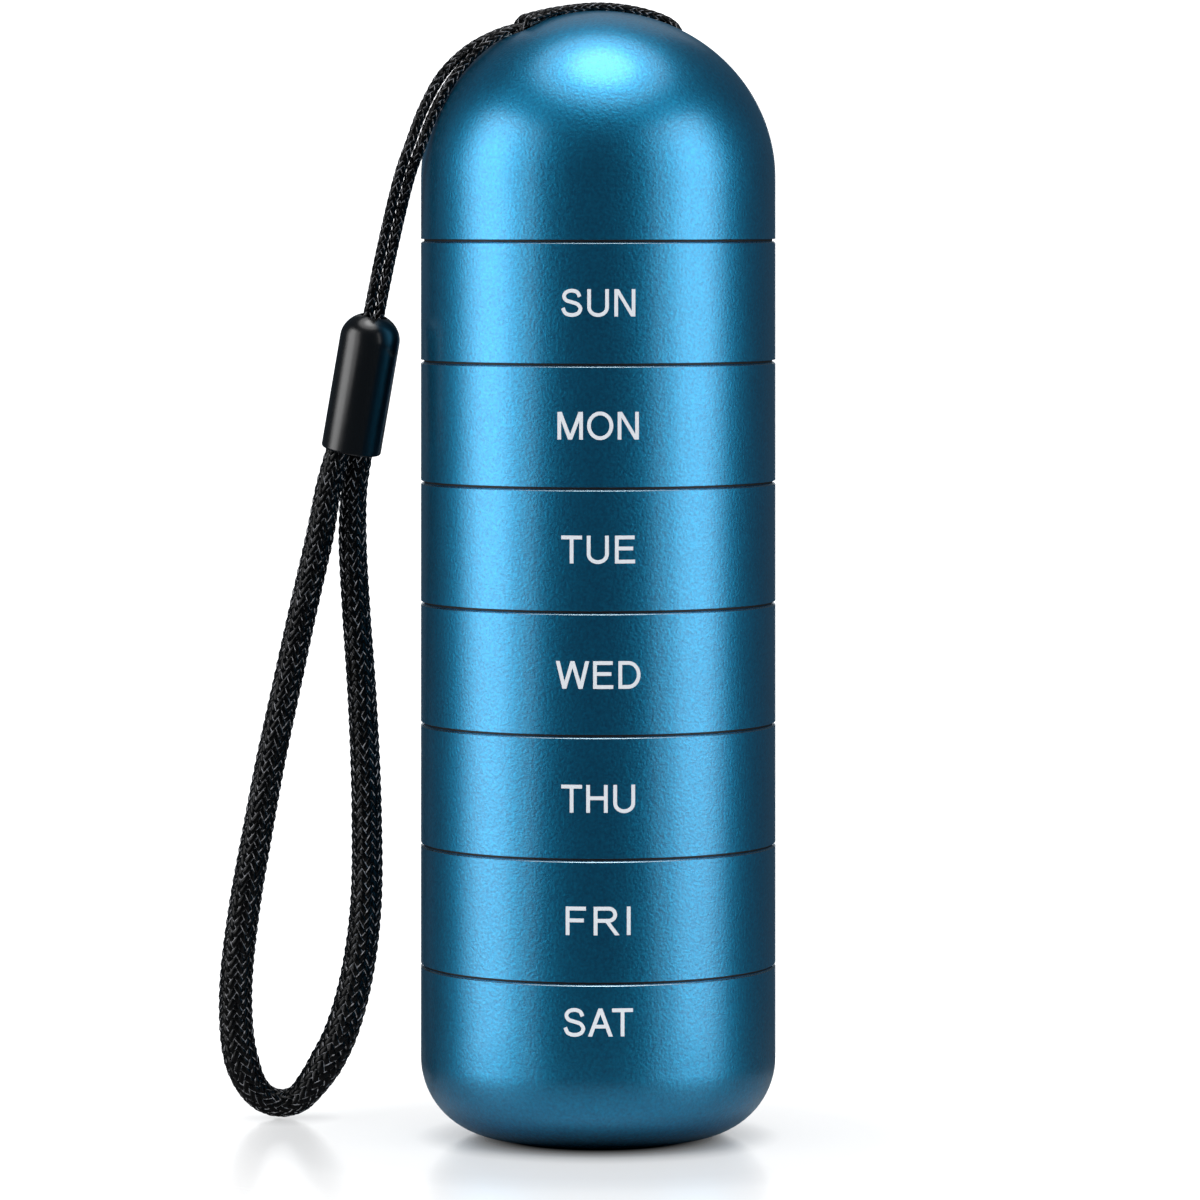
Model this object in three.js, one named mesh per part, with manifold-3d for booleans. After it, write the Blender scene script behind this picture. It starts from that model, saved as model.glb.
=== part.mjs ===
// Weekly pill organizer: seven pill compartments that screw together into a capsule, with a wrist strap.
// Millimetres, +Z up. The origin is the centre of the flat foot, and the labelled front faces -Y.

import * as THREE from 'three';
import * as BufferGeometryUtils from 'three/addons/utils/BufferGeometryUtils.js';
import Module from 'manifold-3d';

const wasm = await Module();
wasm.setup();

// Stack
const outerRadius = 22.1; // outside of the aluminium
const baseHeight = 21.3; // foot to the lowest seam
const ringHeight = 15; // one day, seam to seam
const ringDays = ['fri', 'thu', 'wed', 'tue', 'mon', 'sun']; // from the base up
const capStraight = 7.8; // straight side of the cap, below its dome
const domeRise = 20.8; // height of the dome itself
const footCorner = 9.7; // radius between the side and the foot

// Aluminium shells
const shellWall = 1.3;
const seamGap = 0.35; // between one shell and the next
const edgeBreak = 0.25; // chamfer on each rim

// Moulded liners, which carry the pills and the thread
const fitGap = 0.3; // shell to liner
const skirtWall = 1.5;
const threadSpace = 1.5; // from a neck out to the skirt around it
const neckWall = 1.5;
const flangeThickness = 1.2;
const floorThickness = 1.2;
const linerGap = 0.6; // one liner's shoulder to the next one's rim
const sealThickness = 0.9;
const sealWidth = 2.2;
const sealGap = 0.2; // above and below a seal

// Two-start screw thread
const threadStarts = 2;
const threadLead = 5; // rise in one turn, and the lift that frees a section
const threadTurns = 0.35; // length of each ridge
const ridgeRoot = 0.85; // height of a ridge at its wall
const ridgeTip = 0.5;
const ridgeClearance = 0.45; // ridge tip to the other wall
const ridgeSunk = 0.4; // how far a ridge is rooted in its wall
const firstRidge = 0.6; // a socket's rim to the middle of its ridge

// Strap
const holeOffset = 9.5; // cord holes, each side of the dome's top
const holeRadius = 2.7;
const strapTurn = THREE.MathUtils.degToRad(16); // the holes' line, turned from the front
const thinDiameter = 1.3;
const thinSpacing = 1.44; // between the two strands, side by side
const loopDiameter = 3.6;
const beadRadius = 3.75;
const beadLength = 17.6;
const beadWall = 0.75;
const beadNose = 3.3; // height of its domed end
const beadEye = 1.7; // radius of the hole in the dome
const beadFoot = new THREE.Vector3(-30.88, 1.8, 85.04);
const beadHead = new THREE.Vector3(-27.86, -0.8, 102.32);
const crimpRadius = 2.5;
const crimpBore = 1.9;
const crimpLength = 6;
const crimpHeight = 3; // above the bead's lower end

// Facets
const roundSides = 32;
const smallSides = 16;
const cornerSteps = 5;
const domeSteps = 8;
const threadSteps = 9;
const cordSides = 8;

// Sizes that follow from those above
const shellBore = outerRadius - shellWall;
const linerRadius = shellBore - fitGap;
const socketRadius = linerRadius - skirtWall;
const neckRadius = socketRadius - threadSpace;
const boreRadius = neckRadius - neckWall;
const rimHeight = linerGap / 2; // a liner's rim above the seam
const neckHeight = threadLead - rimHeight; // a neck's rim above the seam
const socketHeight = neckHeight + sealThickness + 2 * sealGap; // a socket's roof above the seam
const ridgePitch = threadLead / threadStarts;
const socketRidge = rimHeight + firstRidge;
const neckRidge = socketRidge + ridgePitch / 2;
const capSeam = baseHeight + ringDays.length * ringHeight;
const domeFoot = capSeam + capStraight;

const anodisedBlue = { color: '#2a7fb5', metalness: 0.9, roughness: 0.35 };
const mouldedBlack = { color: '#1b1c1e', metalness: 0, roughness: 0.6 };
const sealSilicone = { color: '#3a3d40', metalness: 0, roughness: 0.8 };
const braidedCord = { color: '#101112', metalness: 0, roughness: 0.85 };
const glossBead = { color: '#0b0b0c', metalness: 0, roughness: 0.2 };
const crimpBrass = { color: '#b5954f', metalness: 0.9, roughness: 0.35 };

function piece(name, geometry, look) {
  const mesh = new THREE.Mesh(geometry, new THREE.MeshStandardMaterial(look));
  mesh.name = name;
  return mesh;
}

// A round solid from its half section, given as [radius, height] points that run up its outside.
function turned(section, sides = roundSides) {
  const points = section.map(([r, z]) => new THREE.Vector2(r, z));
  return new THREE.LatheGeometry(points, sides).rotateX(Math.PI / 2);
}

// A closed ring's section ends where it starts.
function turnedRing(section, sides = roundSides) {
  return turned([...section, section[0]], sides);
}

// Points on an ellipse's quarter between two angles, in degrees from the radius.
function arc(r, z, rise, width, from, to, steps) {
  return Array.from({ length: steps + 1 }, (_, i) => {
    const angle = THREE.MathUtils.degToRad(from + ((to - from) * i) / steps);
    return [r + width * Math.cos(angle), z + rise * Math.sin(angle)];
  });
}

function solid(geometry) {
  const bare = geometry.clone();
  bare.deleteAttribute('normal');
  bare.deleteAttribute('uv');
  const merged = BufferGeometryUtils.mergeVertices(bare, 1e-4);
  return new wasm.Manifold(new wasm.Mesh({
    numProp: 3,
    vertProperties: new Float32Array(merged.attributes.position.array),
    triVerts: new Uint32Array(merged.index.array),
  }));
}

function geometryOf(made) {
  const { vertProperties, triVerts } = made.getMesh();
  const geometry = new THREE.BufferGeometry();
  geometry.setAttribute('position', new THREE.BufferAttribute(new Float32Array(vertProperties), 3));
  geometry.setIndex(new THREE.BufferAttribute(new Uint32Array(triVerts), 1));
  geometry.computeVertexNormals();
  return geometry;
}

// One thread ridge: a trapezoid drawn out straight, then wound up a right-hand helix.
function ridge(wall, tip, height, start) {
  const sweep = threadTurns * 2 * Math.PI;
  const section = new THREE.Shape([
    new THREE.Vector2(wall, -ridgeRoot / 2),
    new THREE.Vector2(tip, -ridgeTip / 2),
    new THREE.Vector2(tip, ridgeTip / 2),
    new THREE.Vector2(wall, ridgeRoot / 2),
  ]);
  const geometry = new THREE.ExtrudeGeometry(section, {
    depth: sweep,
    steps: threadSteps,
    bevelEnabled: false,
  });
  const place = geometry.attributes.position;
  for (let i = 0; i < place.count; i += 1) {
    const along = sweep - place.getZ(i);
    const angle = start + along;
    const z = height + place.getY(i) + (threadLead * along) / (2 * Math.PI);
    const r = place.getX(i);
    place.setXYZ(i, r * Math.cos(angle), r * Math.sin(angle), z);
  }
  return geometry;
}

function withThread(body, wall, tip, height) {
  let made = body;
  for (let start = 0; start < threadStarts; start += 1) {
    made = made.add(solid(ridge(wall, tip, height, (2 * Math.PI * start) / threadStarts)));
  }
  return made;
}

function withNeckThread(body, seam) {
  return withThread(body, neckRadius - ridgeSunk, socketRadius - ridgeClearance, seam + neckRidge);
}

function withSocketThread(body) {
  return withThread(body, socketRadius + ridgeSunk, neckRadius + ridgeClearance, socketRidge);
}

// A pill cup: an inner wall that runs up into the threaded neck, hung in an outer skirt by a flange.
// Heights are from the seam below it; floorUnder and rim are its two lowest faces, seam is its upper seam.
function cupSection(floorUnder, rim, seam) {
  const shoulder = seam - linerGap / 2;
  return [
    [0, floorUnder],
    [neckRadius, floorUnder],
    [neckRadius, shoulder - flangeThickness],
    [socketRadius, shoulder - flangeThickness],
    [socketRadius, rim],
    [linerRadius, rim],
    [linerRadius, shoulder],
    [neckRadius, shoulder],
    [neckRadius, seam + neckHeight],
    [boreRadius, seam + neckHeight],
    [boreRadius, floorUnder + floorThickness],
    [0, floorUnder + floorThickness],
  ];
}

function dayCup() {
  const body = solid(turned(cupSection(socketHeight, rimHeight, ringHeight)));
  return geometryOf(withSocketThread(withNeckThread(body, ringHeight)));
}

function daySleeve() {
  const bottom = seamGap / 2;
  const top = ringHeight - seamGap / 2;
  return turnedRing([
    [shellBore, bottom],
    [outerRadius - edgeBreak, bottom],
    [outerRadius, bottom + edgeBreak],
    [outerRadius, top - edgeBreak],
    [outerRadius - edgeBreak, top],
    [shellBore, top],
  ]);
}

// A flat silicone ring between a neck's rim and the roof of the socket above.
function seal() {
  const inner = boreRadius + neckWall / 2 - sealWidth / 2;
  const bottom = neckHeight + sealGap;
  return turnedRing([
    [inner, bottom],
    [inner + sealWidth, bottom],
    [inner + sealWidth, bottom + sealThickness],
    [inner, bottom + sealThickness],
  ]);
}

const footRadius = outerRadius - footCorner;

function baseShell() {
  const top = baseHeight - seamGap / 2;
  const innerCorner = footCorner - shellWall;
  return turned([
    [0, 0],
    ...arc(footRadius, footCorner, footCorner, footCorner, -90, 0, cornerSteps),
    [outerRadius, top - edgeBreak],
    [outerRadius - edgeBreak, top],
    [shellBore, top],
    ...arc(footRadius, footCorner, innerCorner, innerCorner, 0, -90, cornerSteps),
    [0, shellWall],
  ]);
}

// The base's cup sits in the shell's rounded corner, so it is deeper than the others.
function baseCup() {
  const innerCorner = footCorner - shellWall - fitGap;
  const reach = Math.max(0, neckRadius - footRadius);
  const floorUnder = footCorner - Math.sqrt(Math.max(0, innerCorner ** 2 - reach ** 2)) + fitGap;
  const body = solid(turned(cupSection(floorUnder, footCorner, baseHeight)));
  return geometryOf(withNeckThread(body, baseHeight));
}

// The cap's liner is a bare socket: heights from the cap's seam.
function capInsert() {
  const roofTop = socketHeight + floorThickness;
  const body = solid(turned([
    [0, socketHeight],
    [socketRadius, socketHeight],
    [socketRadius, rimHeight],
    [linerRadius, rimHeight],
    [linerRadius, roofTop],
    [0, roofTop],
  ]));
  return geometryOf(withSocketThread(body));
}

// Height and outward slope of the dome's outside at a signed radius, for the cord and its holes.
function domeHeight(r) {
  return domeFoot + domeRise * Math.sqrt(1 - (r / outerRadius) ** 2);
}

function domeNormal(r) {
  const across = r / outerRadius ** 2;
  const up = (domeHeight(r) - domeFoot) / domeRise ** 2;
  const length = Math.hypot(across, up);
  return [across / length, up / length];
}

// A point of the hitch's upright plane: r runs along the line of the two holes, aside is square to it.
function inPlane(r, z, aside = 0) {
  return new THREE.Vector3(
    r * Math.cos(strapTurn) - aside * Math.sin(strapTurn),
    r * Math.sin(strapTurn) + aside * Math.cos(strapTurn),
    z,
  );
}

function domeShell() {
  const bottom = capSeam + seamGap / 2;
  const body = solid(turned([
    [0, domeFoot + domeRise - shellWall],
    ...arc(0, domeFoot, domeRise - shellWall, shellBore, 90, 0, domeSteps).slice(1),
    [shellBore, bottom],
    [outerRadius - edgeBreak, bottom],
    [outerRadius, bottom + edgeBreak],
    ...arc(0, domeFoot, domeRise, outerRadius, 0, 90, domeSteps).slice(0, -1),
    [0, domeFoot + domeRise],
  ]));
  const drillLength = 4 * shellWall;
  let made = body;
  for (const r of [-holeOffset, holeOffset]) {
    const [across, up] = domeNormal(r);
    const drill = new THREE.CylinderGeometry(holeRadius, holeRadius, drillLength, smallSides);
    const turn = new THREE.Quaternion().setFromUnitVectors(new THREE.Vector3(0, 1, 0), inPlane(across, up));
    drill.applyQuaternion(turn);
    const middle = inPlane(r, domeHeight(r));
    drill.translate(middle.x, middle.y, middle.z);
    made = made.subtract(solid(drill));
  }
  return geometryOf(made);
}

// Route of the thin cord. It is doubled: it rises from the bead, goes in at the left hole, out at the right
// hole and back over the crown, and its bight lies round the two strands that go in on the left.
function overDome(r, out) {
  const [across, up] = domeNormal(r);
  return [r + across * out, domeHeight(r) + up * out];
}

// A point by one hole: inward runs towards the crown, out is away from the dome.
function byHole(side, inward, out) {
  const [across, up] = domeNormal(side * holeOffset);
  return [
    side * holeOffset - side * Math.abs(up) * inward + across * out,
    domeHeight(holeOffset) + Math.abs(across) * inward + up * out,
  ];
}

function inBead(height) {
  return beadFoot.clone().lerp(beadHead, height / beadLength);
}

const twistOfHanging = 90; // degrees: the strands lie side by side as seen from the front
const hanging = [
  inBead(crimpHeight + crimpLength + fitGap),
  inBead(beadLength),
  new THREE.Vector3(-25.85, -2.9, 111.8),
  new THREE.Vector3(-23.85, -5.4, 119.6),
];

// [radius and height, twist in degrees], up the dome and in at the left hole, then across inside
const intoDome = [
  [overDome(-21.75, 1.75), 80],
  [overDome(-20.6, 1.3), 45],
  [overDome(-18.4, 1.15), 34],
  [overDome(-15.7, 0.95), 15],
  [overDome(-13.4, 0.86), 4],
  [byHole(-1, -2.7, 0.95), 0],
  [byHole(-1, -1.3, 1.05), 0],
  [byHole(-1, 0, 0.7), 0],
  [byHole(-1, 0.5, -0.4), 0],
  [byHole(-1, 0.62, -2), 0],
  [[-6.2, 134.1], 0],
  [[-3, 132.8], 0],
  [[1.5, 132.5], 0],
  [[6, 133.1], 0],
  [[8.9, 134.6], 0],
  [byHole(1, -1.4, -1.1), 0],
  [byHole(1, -1.1, 0), 0],
  [byHole(1, -0.2, 0.8), 0],
  [byHole(1, 1.3, 0.98), 0],
];

// [radius and height, half the strands' spacing], back over the crown to the bight
const overCrown = [
  [overDome(4.6, 0.85), 0.72],
  [overDome(0, 0.82), 0.74],
  [overDome(-4.4, 0.88), 1],
  [byHole(-1, 1.9, 0.85), 1.6],
  [byHole(-1, 0.5, 0.55), 2.1],
  [byHole(-1, -0.7, 0), 1.65],
  [byHole(-1, -1.35, -0.35), 0.8],
];
const bightEnd = inPlane(...byHole(-1, -1.55, -0.45));

// The path's own outward direction in the hitch's plane, which the twist turns the pair towards.
function outward(points, i) {
  const before = points[Math.max(0, i - 1)];
  const after = points[Math.min(points.length - 1, i + 1)];
  const run = after.clone().sub(before);
  const across = run.x * Math.cos(strapTurn) + run.y * Math.sin(strapTurn);
  return inPlane(-run.z, across).normalize();
}

function strand(side) {
  const middle = [...hanging, ...intoDome.map(([place]) => inPlane(...place))];
  const twist = [...hanging.map(() => twistOfHanging), ...intoDome.map(([, degrees]) => degrees)];
  const route = middle.map((point, i) => {
    const angle = THREE.MathUtils.degToRad(twist[i]);
    const apart = inPlane(0, 0, Math.cos(angle)).addScaledVector(outward(middle, i), Math.sin(angle));
    return point.clone().addScaledVector(apart, (side * thinSpacing) / 2);
  });
  for (const [place, spread] of overCrown) route.push(inPlane(...place, side * spread));
  return route;
}

const thinRoute = [...strand(1), bightEnd, ...strand(-1).reverse()];

// Route of the wrist loop: down the left strand, round its foot on the ground and up to the bead again.
const loopRoute = [
  [-32.95, 0.75, 84.8],
  [-33.6, 1.7, 80.7],
  [-34.8, 2.8, 74.4],
  [-37, 4.3, 64.9],
  [-39.1, 5.7, 55.4],
  [-41.2, 7.2, 45.8],
  [-43, 8.5, 36.3],
  [-44.7, 9.9, 26.7],
  [-45.8, 11.2, 17.1],
  [-45.7, 12.1, 10.6],
  [-45.1, 12.5, 7.2],
  [-43.9, 12.9, 4.2],
  [-42.3, 13.2, 2.5],
  [-40.2, 13.4, 1.86],
  [-38.1, 13.3, 2.4],
  [-36.4, 13, 4.2],
  [-34.4, 12.7, 7.2],
  [-32.7, 12.3, 10.6],
  [-30.8, 11.6, 17],
  [-29.4, 10.5, 26.5],
  [-29.2, 9.1, 39.4],
  [-29.7, 7.3, 53.7],
  [-30.4, 6, 64.8],
  [-30.8, 4.7, 74.3],
  [-30.5, 3.8, 80.6],
  [-29.9, 2.95, 84.6],
].map((point) => new THREE.Vector3(...point));

// A cord's curve goes through its points, and its rings stand where the points are.
class CordCurve extends THREE.CatmullRomCurve3 {
  getPointAt(share, target) {
    return this.getPoint(share, target);
  }

  getTangentAt(share, target) {
    return this.getTangent(share, target);
  }
}

function cord(route, diameter) {
  const section = new THREE.Shape().absarc(0, 0, diameter / 2, 0, 2 * Math.PI);
  const outline = new THREE.Shape(section.getPoints(cordSides / 2).slice(0, cordSides));
  return new THREE.ExtrudeGeometry(outline, {
    extrudePath: new CordCurve(route, false, 'centripetal'),
    steps: route.length - 1,
    curveSegments: cordSides,
  });
}

function bead() {
  const bore = beadRadius - beadWall;
  const straight = beadLength - beadNose;
  const eyeAngle = THREE.MathUtils.radToDeg(Math.acos(beadEye / beadRadius));
  return turnedRing([
    [bore, 0],
    [beadRadius - edgeBreak, 0],
    [beadRadius, edgeBreak],
    ...arc(0, straight, beadNose, beadRadius, 0, eyeAngle, cornerSteps),
    [beadEye, straight + beadWall],
    [bore, straight - beadWall],
  ], smallSides);
}

function crimp() {
  return turnedRing([
    [crimpBore, crimpHeight],
    [crimpRadius, crimpHeight],
    [crimpRadius, crimpHeight + crimpLength],
    [crimpBore, crimpHeight + crimpLength],
  ], smallSides);
}

function section(seam, ...pieces) {
  const group = new THREE.Group();
  group.position.z = seam;
  group.add(...pieces);
  return group;
}

const organizer = new THREE.Group();
organizer.add(
  piece('sat_base_shell', baseShell(), anodisedBlue),
  piece('sat_base_cup', baseCup(), mouldedBlack),
  piece('cap_dome_shell', domeShell(), anodisedBlue),
);

const sleeveShape = daySleeve();
const cupShape = dayCup();
const sealShape = seal();
ringDays.forEach((day, i) => {
  organizer.add(section(
    baseHeight + i * ringHeight,
    piece(`${day}_sleeve`, sleeveShape, anodisedBlue),
    piece(`${day}_cup`, cupShape, mouldedBlack),
    piece(`${day}_seal`, sealShape, sealSilicone),
  ));
});
organizer.add(section(
  capSeam,
  piece('cap_insert', capInsert(), mouldedBlack),
  piece('cap_seal', sealShape, sealSilicone),
));

const onBeadAxis = new THREE.Group();
onBeadAxis.position.copy(beadFoot);
onBeadAxis.quaternion.setFromUnitVectors(
  new THREE.Vector3(0, 0, 1),
  beadHead.clone().sub(beadFoot).normalize(),
);
onBeadAxis.add(
  piece('strap_bead', bead(), glossBead),
  piece('strap_crimp', crimp(), crimpBrass),
);
organizer.add(
  onBeadAxis,
  piece('strap_thin_cord', cord(thinRoute, thinDiameter), braidedCord),
  piece('strap_wrist_loop', cord(loopRoute, loopDiameter), braidedCord),
);

export default organizer;
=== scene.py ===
# %% [markdown]
# # A weekly pill organizer
#
# Seven pill compartments screw together into one capsule of blue anodised aluminium. A braided strap is
# hitched through two holes in the domed cap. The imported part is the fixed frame: each piece made below stands
# where its CAD solid is, and only its shape and its finish get finer.

# %% Load the frame
import math

import bmesh
import bpy
from mathutils import Matrix, Vector
from mathutils.geometry import delaunay_2d_cdt


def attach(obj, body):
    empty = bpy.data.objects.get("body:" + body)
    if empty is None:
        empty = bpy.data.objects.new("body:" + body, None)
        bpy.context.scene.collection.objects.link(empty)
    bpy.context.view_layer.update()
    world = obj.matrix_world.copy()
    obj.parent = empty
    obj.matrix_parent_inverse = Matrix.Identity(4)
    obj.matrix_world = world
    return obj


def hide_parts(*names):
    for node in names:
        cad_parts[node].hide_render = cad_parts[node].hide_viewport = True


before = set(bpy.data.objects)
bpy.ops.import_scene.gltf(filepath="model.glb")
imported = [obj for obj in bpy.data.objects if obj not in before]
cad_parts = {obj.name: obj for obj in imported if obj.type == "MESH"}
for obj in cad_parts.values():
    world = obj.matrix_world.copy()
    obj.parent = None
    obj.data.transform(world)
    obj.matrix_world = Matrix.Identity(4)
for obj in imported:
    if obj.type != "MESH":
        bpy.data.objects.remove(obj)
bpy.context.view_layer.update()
MM = 0.001

# %% [markdown]
# ## Sizes
#
# The scene repeats the few sizes of the part that its finer pieces need, in millimetres. One seam height for
# each screwed joint is enough to place every ring. The seams are drawn a little tighter than the part's, as
# the photograph shows them.

# %% Sizes of the case
OUTER = 22.1
SHELL_WALL = 1.3
SHELL_BORE = OUTER - SHELL_WALL
BASE_HEIGHT = 21.3
RING_HEIGHT = 15
CAP_STRAIGHT = 7.8
DOME_RISE = 20.8
FOOT_CORNER = 9.7
FOOT_RADIUS = OUTER - FOOT_CORNER
SEAM_GAP = 0.28
TOP_BREAK = 0.2
FOOT_BREAK = 0.04
RING_DAYS = ["fri", "thu", "wed", "tue", "mon", "sun"]
CAP_SEAM = BASE_HEIGHT + RING_HEIGHT * len(RING_DAYS)
DOME_FOOT = CAP_SEAM + CAP_STRAIGHT
seam_below = {day: BASE_HEIGHT + RING_HEIGHT * i for i, day in enumerate(RING_DAYS)}
print("seams, mm:", [round(z, 1) for z in seam_below.values()], "cap", round(CAP_SEAM, 1))

# %% [markdown]
# ## Camera
#
# A product photograph like this one is taken from far off with a long lens held level, so upright edges stay
# upright. The seams bow more the lower they are, which gives the distance and the height of the lens. The
# lens's own shift then frames the object, as on a view camera.

# %% Camera
EYE = Vector((0.224, -789, 114.9)) * MM
SENSOR = 36
LENS = 189.9
SHIFT_DOWN = 0.324


def stood(name, data):
    """A new object of the scene that holds this data."""
    thing = bpy.data.objects.new(name, data)
    bpy.context.scene.collection.objects.link(thing)
    return thing


camera_data = bpy.data.cameras.new("camera")
camera_data.sensor_width = SENSOR
camera_data.lens = LENS
camera_data.shift_y = -SHIFT_DOWN
camera_data.clip_start = 0.01
camera = stood("camera", camera_data)
camera.location = EYE
camera.rotation_euler = (math.radians(90), 0, 0)
bpy.context.scene.camera = camera
bpy.context.scene.view_settings.view_transform = "Standard"
print("lens", LENS, "mm at", round(-EYE.y, 3), "m")

# %% [markdown]
# ## Where the cords run
#
# The thin cord is doubled and tied with a cow hitch: both strands go in at the left hole, cross inside the
# cap, come out at the right hole and run back over the crown, where the bight lies round them. The thick
# wrist loop hangs from the bead and its foot rests on the ground behind the case. Both routes are lists of
# points, and one smooth curve runs through each. The points are the part's, but the shown strands
# lie a little closer together, and on the dome's left shoulder the pair is turned a little further, so that
# both strands show. The part keeps its round tube just clear of the metal. A real cord is pulled tight and
# squeezed flat there, so each point near the metal also says how far the shown cord sinks towards it.

# %% Geometry of the hitch
HOLE_OFFSET = 9.5
HOLE_RADIUS = 2.7
STRAP_TURN = math.radians(16)
THIN_SPACING = 1.44
THIN_SHOWN_SPACING = 1.375
BEAD_RADIUS = 3.75
BEAD_LENGTH = 17.6
CRIMP_HEIGHT = 3
CRIMP_LENGTH = 6
bead_foot = Vector((-30.88, 1.8, 85.04))
bead_head = Vector((-27.86, -0.8, 102.32))
bead_axis = (bead_head - bead_foot).normalized()


def dome_height(r):
    return DOME_FOOT + DOME_RISE * math.sqrt(1 - (r / OUTER) ** 2)


def dome_normal(r):
    return Vector((r / OUTER**2, (dome_height(r) - DOME_FOOT) / DOME_RISE**2)).normalized()


def in_plane(place, aside=0.0):
    """A point of the upright plane through both holes, as a point of the frame."""
    r, z = place
    across = Vector((math.cos(STRAP_TURN), math.sin(STRAP_TURN), 0))
    back = Vector((-math.sin(STRAP_TURN), math.cos(STRAP_TURN), 0))
    return across * r + back * aside + Vector((0, 0, z))


def over_dome(r, out):
    normal = dome_normal(r)
    return (r + normal.x * out, dome_height(r) + normal.y * out)


def by_hole(side, inward, out):
    """A place by one hole: inward runs towards the crown, out is away from the dome."""
    normal = dome_normal(side * HOLE_OFFSET)
    r = side * (HOLE_OFFSET - normal.y * inward) + normal.x * out
    return (r, dome_height(HOLE_OFFSET) + abs(normal.x) * inward + normal.y * out)


print("hole at", [round(v, 1) for v in by_hole(-1, 0, 0)])

# %% Route of the thin cord
hanging = [
    bead_foot + bead_axis * (CRIMP_HEIGHT + CRIMP_LENGTH + 0.3),
    bead_head,
    Vector((-25.85, -2.9, 111.8)),
    Vector((-23.85, -5.4, 119.6)),
]
# place, twist of the pair in degrees, how far the shown cord sinks
into_dome = [
    (over_dome(-21.75, 1.75), 84, 0),
    (over_dome(-20.6, 1.3), 78, -0.1),
    (over_dome(-18.4, 1.15), 66, -0.2),
    (over_dome(-15.7, 0.95), 38, -0.2),
    (over_dome(-13.4, 0.86), 14, 0),
    (by_hole(-1, -2.7, 0.95), 0, 0.48),
    (by_hole(-1, -1.3, 1.05), 0, 0.8),
    (by_hole(-1, 0, 0.7), 0, 0.95),
    (by_hole(-1, 0.5, -0.4), 0, 0.7),
    (by_hole(-1, 0.62, -2), 0, 0.2),
    ((-6.2, 134.1), 0, 0),
    ((-3, 132.8), 0, 0),
    ((1.5, 132.5), 0, 0),
    ((6, 133.1), 0, 0),
    ((8.9, 134.6), 0, 0),
    (by_hole(1, -1.4, -1.1), 0, 0),
    (by_hole(1, -1.1, 0), 0, 0.45),
    (by_hole(1, -0.2, 0.8), 0, 0.6),
    (by_hole(1, 1.3, 0.98), 0, 0.55),
]
# place, distance of each strand from the middle, how far the shown cord sinks
over_crown = [
    (over_dome(4.6, 0.85), 0.72, 0.38),
    (over_dome(0, 0.82), 0.74, 0.36),
    (over_dome(-4.4, 0.88), 1, 0.4),
    (by_hole(-1, 1.9, 0.85), 1.6, 0.25),
    (by_hole(-1, 0.5, 0.55), 2.1, -0.15),
    (by_hole(-1, -0.7, 0), 1.65, 0.1),
    (by_hole(-1, -1.35, -0.35), 0.8, 0.45),
]
bight_end = (by_hole(-1, -1.55, -0.45), 0.5)


def outward(points, i):
    run = points[min(i + 1, len(points) - 1)] - points[max(i - 1, 0)]
    across = run.x * math.cos(STRAP_TURN) + run.y * math.sin(STRAP_TURN)
    return in_plane((-run.z, across)).normalized()


def sunk(place, depth):
    normal = dome_normal(max(-OUTER, place[0]))
    return (place[0] - normal.x * depth, place[1] - normal.y * depth)


def strand(side, spacing, pressed):
    """One strand from the crimp to the bight; pressed is 0 for the part's tube and 1 for the shown cord."""
    middle = hanging + [in_plane(sunk(place, depth * pressed)) for place, _, depth in into_dome]
    twist = [90] * len(hanging) + [degrees for _, degrees, _ in into_dome]
    route = []
    for i, (point, degrees) in enumerate(zip(middle, twist)):
        angle = math.radians(degrees)
        apart = in_plane((0, 0), math.cos(angle)) + outward(middle, i) * math.sin(angle)
        route.append(point + apart * side * spacing / 2)
    closer = (THIN_SPACING - spacing) / 2
    return route + [
        in_plane(sunk(place, depth * pressed), side * (spread - closer))
        for place, spread, depth in over_crown
    ]


def doubled(spacing, pressed):
    place, depth = bight_end
    bend = in_plane(sunk(place, depth * pressed))
    return strand(1, spacing, pressed) + [bend] + strand(-1, spacing, pressed)[::-1]


thin_shown_route = doubled(THIN_SHOWN_SPACING, 1)

# %% Route of the wrist loop
loop_route = [Vector(point) for point in [
    (-32.95, 0.75, 84.8), (-33.6, 1.7, 80.7), (-34.8, 2.8, 74.4), (-37, 4.3, 64.9), (-39.1, 5.7, 55.4),
    (-41.2, 7.2, 45.8), (-43, 8.5, 36.3), (-44.7, 9.9, 26.7), (-45.8, 11.2, 17.1), (-45.7, 12.1, 10.6),
    (-45.1, 12.5, 7.2), (-43.9, 12.9, 4.2), (-42.3, 13.2, 2.5), (-40.2, 13.4, 1.86), (-38.1, 13.3, 2.4),
    (-36.4, 13, 4.2), (-34.4, 12.7, 7.2), (-32.7, 12.3, 10.6), (-30.8, 11.6, 17), (-29.4, 10.5, 26.5),
    (-29.2, 9.1, 39.4), (-29.7, 7.3, 53.7), (-30.4, 6, 64.8), (-30.8, 4.7, 74.3), (-30.5, 3.8, 80.6),
    (-29.9, 2.95, 84.6),
]]
print("wrist loop:", len(loop_route), "points")


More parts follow.
